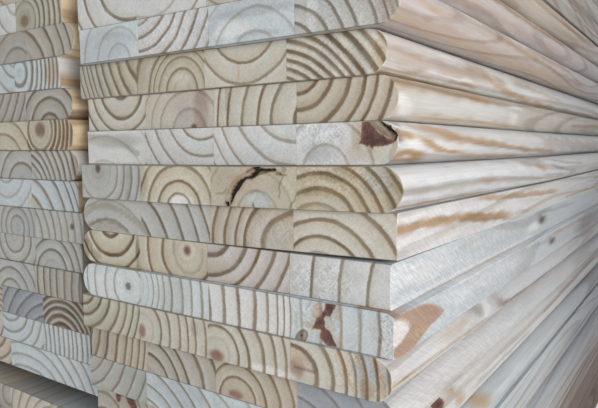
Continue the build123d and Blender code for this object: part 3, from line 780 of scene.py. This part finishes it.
def build_board(name, material):
    """One board as a mesh object, in the place of its CAD node."""
    low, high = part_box(name)
    width, length, thick = ((high[i] - low[i]) / MM for i in range(3))
    cad = np.array([v.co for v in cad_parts[name].data.vertices])
    foot = cad[cad[:, 2] < low[2] + 0.1 * MM]
    nose_side = "right" if (high[0] - foot[:, 0].max()) > (foot[:, 0].min() - low[0]) else "left"
    # Chance of its own for each board, the same in every run
    rng = np.random.default_rng(sum(ord(c) * (i + 3) for i, c in enumerate(name)) + 17)
    points, faces, uvs, fields, start = [], ([], []), ([], []), {}, 0
    for stave in range(STAVES):
        outer = [side for side, at in (("left", 0), ("right", STAVES - 1)) if stave == at]
        nose = nose_side if nose_side in outer else None
        left = stave * STAVE_WIDTH + (0 if stave == 0 else GLUE_GAP / 2)
        right = min((stave + 1) * STAVE_WIDTH - (0 if stave == STAVES - 1 else GLUE_GAP / 2), width)
        detail = levels_of_detail(name, stave, nose, outer)
        places, skin_count, *groups = stave_mesh(left, right, thick, length, nose, outer, detail)
        for kind, (corners, sides) in enumerate(groups):
            faces[kind].append(corners + start)
            uvs[kind].append(uv_of(places, corners, sides, thick, length, stave, nose))
        found = wood(name, stave, places, skin_count, rng, thick)
        for key, value in found.items():
            fields.setdefault(key, []).append(value)
        points.append(eased(name, relief(places, skin_count, found), thick))
        start += len(places)
    points = lifted(name, np.concatenate(points) + np.array([0, 0, low[2] / MM]))
    points = points * MM + np.array([low[0], low[1], 0])
    mesh = bpy.data.meshes.new(name + "_wood")
    mesh.from_pydata(points, [], [face for group in faces for face in np.concatenate(group).tolist()])
    uv = np.concatenate(uvs[0] + uvs[1])
    mesh.uv_layers.new(name="OFBake").data.foreach_set("uv", uv.astype(np.float32).ravel())
    for key, values in fields.items():
        value = np.concatenate(values)
        kind, into = "FLOAT", "value"
        if key == "tone":
            value = np.concatenate([value, np.ones((len(value), 1))], 1)
            kind, into = "FLOAT_COLOR", "color"
        mesh.attributes.new(key, kind, "POINT").data.foreach_set(into, value.astype(np.float32).ravel())
    mesh.shade_smooth()
    mesh.set_sharp_from_angle(angle=math.radians(SHARP_ANGLE))
    mesh.materials.append(material)
    board = add_object(name + "_wood", mesh)
    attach(board, "root")
    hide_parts(name)


# Materials

class Graph:
    """Short calls for adding nodes to a material and joining them up."""

    def __init__(self, material):
        material.use_nodes = True
        self.tree = material.node_tree
        self.tree.nodes.clear()

    def add(self, kind, settings=None, **inputs):
        node = self.tree.nodes.new(kind)
        for key, value in (settings or {}).items():
            setattr(node, key, value)
        for key, value in inputs.items():
            self.put(node.inputs[key.replace("_", " ")], value)
        return node

    def put(self, socket, value):
        if isinstance(value, bpy.types.NodeSocket):
            self.tree.links.new(value, socket)
        else:
            socket.default_value = value

    def filled(self, node, values, first=0, output=0):
        """Gives a node's inputs these values, from the first on, and returns an output."""
        for i, value in enumerate(values):
            self.put(node.inputs[first + i], value)
        return node.outputs[output]

    def math(self, operation, *values, clamp=False):
        return self.filled(self.add("ShaderNodeMath", {"operation": operation, "use_clamp": clamp}), values)

    def vector(self, operation, *values):
        return self.filled(self.add("ShaderNodeVectorMath", {"operation": operation}), values)

    def times(self, first, *others):
        for value in others:
            first = self.math("MULTIPLY", first, value)
        return first

    def grain(self, at, cell, detail=2.0, roughness=0.5):
        """Noise whose cells have this size across, along and up, in millimetres."""
        place = self.vector("MULTIPLY", at, tuple(1 / size for size in cell))
        return self.add("ShaderNodeTexNoise", {"noise_dimensions": "3D"}, Vector=place, Scale=1.0,
                        Detail=detail, Roughness=roughness).outputs["Fac"]

    def swing(self, at, cell, size, *quality):
        """Noise about 0, up to half of size either way."""
        return self.times(self.math("SUBTRACT", self.grain(at, cell, *quality), 0.5), size)

    def chance(self, value):
        return self.add("ShaderNodeTexWhiteNoise", {"noise_dimensions": "1D"}, W=value).outputs["Value"]

    def ramp(self, value, low, high, to_low=0.0, to_high=1.0):
        settings = {"interpolation_type": "SMOOTHSTEP", "clamp": True}
        return self.add("ShaderNodeMapRange", settings, Value=value, From_Min=low, From_Max=high,
                        To_Min=to_low, To_Max=to_high).outputs["Result"]

    def mix(self, factor, a, b, blend="MIX"):
        node = self.add("ShaderNodeMix", {"data_type": "RGBA", "blend_type": blend}, Factor=factor)
        values = [(*value, 1.0) if isinstance(value, tuple) else value for value in (a, b)]
        return self.filled(node, values, 6, 2)

    def mix_values(self, factor, a, b):
        return self.filled(self.add("ShaderNodeMix", {"data_type": "FLOAT"}, Factor=factor), (a, b), 2)

    def tint(self, colour, factor, tone):
        return self.mix(factor, colour, tone, "MULTIPLY")

    def by_face(self, end, *faces):
        """A tint on long sides and one on ends: for each a noise, from where to where, and two tones."""
        return self.mix(end, *(self.mix(self.ramp(noise, low, high), dark, light)
                               for noise, low, high, dark, light in faces))

    def turned(self, at, axis, degrees):
        return self.add("ShaderNodeVectorRotate", {"rotation_type": axis}, Vector=at,
                        Angle=math.radians(degrees)).outputs[0]

    def seen_as(self, plain, pale):
        """One shader for the light on the object, and a pale one where the camera or a reflection looks."""
        path = self.add("ShaderNodeLightPath").outputs
        rays = self.math("MAXIMUM", path["Is Camera Ray"],
                         self.math("MAXIMUM", path["Is Glossy Ray"], path["Is Transmission Ray"]))
        return self.filled(self.add("ShaderNodeMixShader"), (rays, plain, pale))

    def field(self, name, output="Fac"):
        settings = {"attribute_type": "GEOMETRY", "attribute_name": name}
        return self.add("ShaderNodeAttribute", settings).outputs[output]


def ringed(g, at, fuzz, seed):
    """The wood's colour with its growth rings, and how dark the late wood is."""
    bend = g.times(g.math("ADD", g.swing(at, (24, 170, 24), 3.4), fuzz), g.field("tight"))
    ring = g.math("ADD", g.field("ring"), bend)
    number = g.math("ROUND", ring)
    away = g.math("SUBTRACT", ring, number)
    line, contrast = g.field("line"), g.field("contrast")

    def band(low, high, *share):
        return g.ramp(away, g.times(line, low), g.times(line, high), *share)

    outer = band(0.25, 0.85, 1.0, 0.0)
    patchy = g.ramp(g.grain(at, (13, 120, 13)), 0.32, 0.62, 0.8, 1.0)
    pick = g.ramp(g.chance(g.math("ADD", number, seed)), 0.0, 1.0, 0.8, 1.0)
    late = g.math("MULTIPLY", g.times(band(-1.5, -0.45), outer, patchy, pick),
                  g.math("ADD", g.times(contrast, 0.85), 0.15), clamp=True)
    before = g.times(outer, contrast, g.ramp(away, -0.5, 0.0))
    halo = g.times(band(0.7, 1.3), band(1.4, 4.0, 1.0, 0.0))
    colour = g.tint(g.field("tone", "Color"), g.ramp(g.grain(at, (38, 260, 38), 3.0), 0.45, 0.7, 0.0, 0.45),
                    (0.84, 0.89, 0.95))
    colour = g.tint(colour, g.ramp(g.grain(at, (9, 90, 9), 3.0, 0.6), 0.35, 0.72, 0.0, 0.5),
                    (0.86, 0.84, 0.81))
    colour = g.tint(colour, g.times(before, 0.75), (0.87, 0.80, 0.69))
    colour = g.mix(g.times(halo, contrast, 0.2), colour, (0.80, 0.80, 0.78))
    hue = g.chance(g.math("ADD", g.times(number, 3.7), seed))
    return g.tint(colour, late, g.mix(hue, (0.30, 0.185, 0.10), (0.225, 0.18, 0.125))), late


def marked(g, at, colour):
    """Knots and cracks, with painted shade in the depth of each crack."""
    knot = g.math("ADD", g.field("knot"), g.swing(at, (0.9, 7, 1.5), 1.6, 3.0, 0.6))
    colour = g.tint(colour, g.ramp(knot, 0.0, 3.5, 0.5, 0.0), (0.82, 0.68, 0.52))
    blotch = g.grain(at, (2.6, 12, 2.2), 3.0, 0.6)
    inside = g.mix(g.ramp(blotch, 0.35, 0.68), (0.075, 0.038, 0.036), (0.175, 0.088, 0.070))
    inside = g.mix(g.ramp(g.math("ADD", knot, blotch), -0.8, 0.6), inside, (0.20, 0.105, 0.070))
    colour = g.mix(g.ramp(knot, -0.4, 0.35, 1.0, 0.0), colour, inside)
    crack = g.math("ADD", g.field("crack"), g.swing(at, (1.1, 7, 0.8), 2.6, 3.0, 0.7))
    colour = g.tint(colour, g.ramp(crack, 0.0, 2.2, 0.5, 0.0), (0.74, 0.62, 0.52))
    colour = g.tint(colour, g.ramp(crack, 0.0, 0.9, 0.85, 0.0), (0.40, 0.27, 0.22))
    # Near black inside a crack: painted shade in its depth
    return g.mix(g.ramp(crack, -0.25, 0.25, 1.0, 0.0), colour, (0.020, 0.014, 0.015))


def pine_material():
    material = bpy.data.materials.new("pine")
    g = Graph(material)
    seed = g.field("seed")
    # The place in millimetres, moved for each stave, so that no two are alike
    place = g.vector("MULTIPLY", g.add("ShaderNodeTexCoord").outputs["Object"], (1 / MM, 1 / MM, 1 / MM))
    at = g.vector("ADD", place, g.vector("MULTIPLY", seed, (17.0, 41.0, 29.0)))
    normal = g.add("ShaderNodeSeparateXYZ", Vector=g.add("ShaderNodeNewGeometry").outputs["True Normal"])
    end = g.ramp(g.math("ABSOLUTE", normal.outputs["Y"]), 0.5, 0.85)

    fuzz = g.swing(at, (1.2, 14, 1.2), 0.8, 3.0)
    colour, late = ringed(g, at, fuzz, seed)
    vein = g.math("ADD", g.field("vein"), g.times(fuzz, 0.9))
    colour = g.tint(colour, g.ramp(vein, -0.8, 0.3, 0.0, 0.9), (0.74, 0.56, 0.40))

    # Fibres along the sides, saw marks both ways across the ends, and torn grain
    grit = g.grain(at, (0.9, 0.9, 0.9), 4.0, 0.7)
    diagonal = g.turned(at, "Y_AXIS", 45)
    hatch = g.math("MAXIMUM", g.grain(diagonal, (0.8, 8, 4)), g.grain(diagonal, (4, 8, 0.8)))
    torn = g.grain(g.turned(at, "X_AXIS", 30), (6, 8, 0.8), 3.0, 0.6)
    fibre = g.grain(at, (0.8, 36, 0.8), 4.0, 0.65)
    speck = g.math("ADD", g.times(grit, 0.6), g.times(hatch, 0.4))
    surface = g.mix_values(end, fibre, speck)
    plain = g.by_face(end, (fibre, 0.30, 0.72, (0.92, 0.915, 0.91), (1.05, 1.05, 1.05)),
                      (speck, 0.30, 0.72, (0.86, 0.855, 0.84), (1.09, 1.09, 1.09)))
    colour = g.tint(colour, 1.0, plain)
    burr = g.mix_values(end, torn, g.math("ADD", g.times(grit, 0.45), g.times(hatch, 0.55)))
    sawn = g.by_face(end, (burr, 0.34, 0.68, (0.84, 0.84, 0.85), (1.10, 1.10, 1.10)),
                     (burr, 0.36, 0.66, (0.76, 0.75, 0.75), (1.17, 1.17, 1.18)))
    colour = marked(g, at, g.tint(colour, g.field("rough"), sawn))

    height = g.math("SUBTRACT", surface, g.times(late, 0.25))
    bump = g.add("ShaderNodeBump", Height=height, Strength=0.5, Distance=0.0004)
    roughness = g.ramp(surface, 0.2, 0.8, 0.62, 0.80)
    shader = g.add("ShaderNodeBsdfPrincipled", Base_Color=colour, Roughness=roughness,
                   Normal=bump.outputs[0], Specular_IOR_Level=0.3)
    g.add("ShaderNodeOutputMaterial", Surface=shader.outputs[0])
    return material


# Camera, floor and light

CAMERA_PLACE = (0.3124, -0.8297, 0.3323)
CAMERA_TURN, CAMERA_DOWN, CAMERA_ROLL = (math.radians(a) for a in (34.67, 5.53, -0.4))
CAMERA_LENS, CAMERA_SENSOR = 35.77, 36.0
FLOOR_SIDE, FLOOR_STEPS = 6.0, 24

# Lamps: place, target, size, power, colour, and for one how wide its beam is, in degrees
LAMPS = {
    "key": ((0.80, -0.92, 0.45), (0.2, -0.60, 0.32), 0.4, 4.65, (1.0, 0.972, 0.955)),
    "fill": ((-0.65, -1.75, 0.55), (-0.02, -0.6, 0.3), 1.0, 5.5, (0.955, 1.0, 0.98)),
    "far side": ((0.80, 0.95, 0.45), (0.2, 0.48, 0.27), 0.6, 0.6, (1.0, 0.985, 0.97), 60.0),
    "back": ((0.1, 2.1, 0.7), (0.0, 0.62, 0.25), 1.0, 12.0, (1.0, 0.99, 0.98)),
    "left": ((-2.0, 0.1, 0.7), (-0.2, 0.0, 0.25), 1.2, 22.0, (0.99, 0.99, 1.0)),
    "top": ((-0.15, 0.25, 2.3), (-0.15, 0.25, 0.5), 0.8, 15.0, (1.0, 0.99, 0.98)),
}


def add_camera():
    turn, down = CAMERA_TURN, CAMERA_DOWN
    forward = np.array([-math.sin(turn) * math.cos(down), math.cos(turn) * math.cos(down), -math.sin(down)])
    right = np.array([math.cos(turn), math.sin(turn), 0.0])
    up = np.cross(right, forward)
    c, s = math.cos(CAMERA_ROLL), math.sin(CAMERA_ROLL)
    camera = add_object("camera", bpy.data.cameras.new("camera"))
    rows = np.stack([c * right + s * up, c * up - s * right, -forward, np.array(CAMERA_PLACE)], 1)
    camera.matrix_world = Matrix([list(r) for r in rows] + [[0, 0, 0, 1]])
    camera.data.sensor_fit = "HORIZONTAL"
    camera.data.sensor_width = CAMERA_SENSOR
    camera.data.lens = CAMERA_LENS
    camera.data.clip_start = 0.01
    bpy.context.scene.camera = camera


def add_floor():
    line = np.linspace(-FLOOR_SIDE, FLOOR_SIDE, FLOOR_STEPS + 1)
    gx, gy = np.meshgrid(line, line)
    points = np.stack([gx.ravel(), gy.ravel(), np.zeros(gx.size)], 1)
    grid = np.arange(gx.size).reshape(gx.shape)
    corners = (grid[:-1, :-1], grid[:-1, 1:], grid[1:, 1:], grid[1:, :-1])
    mesh = bpy.data.meshes.new("floor")
    mesh.from_pydata(points, [], np.stack([corner.ravel() for corner in corners], 1).tolist())
    material = bpy.data.materials.new("floor")
    g = Graph(material)
    bounce = g.add("ShaderNodeBsdfPrincipled", Base_Color=(0.72, 0.71, 0.69, 1.0), Roughness=0.85)
    dim = g.add("ShaderNodeBsdfDiffuse", Color=(0.16, 0.16, 0.16, 1.0))
    glow = g.add("ShaderNodeEmission", Color=(0.56, 0.56, 0.565, 1.0), Strength=1.0)
    seen = g.filled(g.add("ShaderNodeAddShader"), (dim.outputs[0], glow.outputs[0]))
    g.add("ShaderNodeOutputMaterial", Surface=g.seen_as(bounce.outputs[0], seen))
    mesh.materials.append(material)
    floor = add_object("floor", mesh)


def add_lamp(name, place, target, size, power, colour, spread=180.0):
    data = bpy.data.lights.new(name, "AREA")
    data.shape = "DISK"
    data.size = size
    data.spread = math.radians(spread)
    data.energy = power
    data.color = colour
    lamp = add_object(name, data)
    lamp.location = place
    lamp.visible_camera = False
    lamp.rotation_euler = (Vector(target) - Vector(place)).to_track_quat("-Z", "Y").to_euler()


def add_world():
    """A dim even light, and for the camera a pale background."""
    world = bpy.data.worlds.new("studio")
    bpy.context.scene.world = world
    g = Graph(world)
    light = g.add("ShaderNodeBackground", Color=(0.93, 0.96, 1.0, 1.0), Strength=0.20)
    seen = g.add("ShaderNodeBackground", Color=(0.80, 0.81, 0.82, 1.0), Strength=1.0)
    g.add("ShaderNodeOutputWorld", Surface=g.seen_as(light.outputs[0], seen.outputs[0]))


bpy.context.scene.view_settings.view_transform = "Standard"
add_camera()
pine = pine_material()
for node in sorted(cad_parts):
    build_board(node, pine)
add_floor()
add_world()
for name, lamp in LAMPS.items():
    add_lamp(name, *lamp)
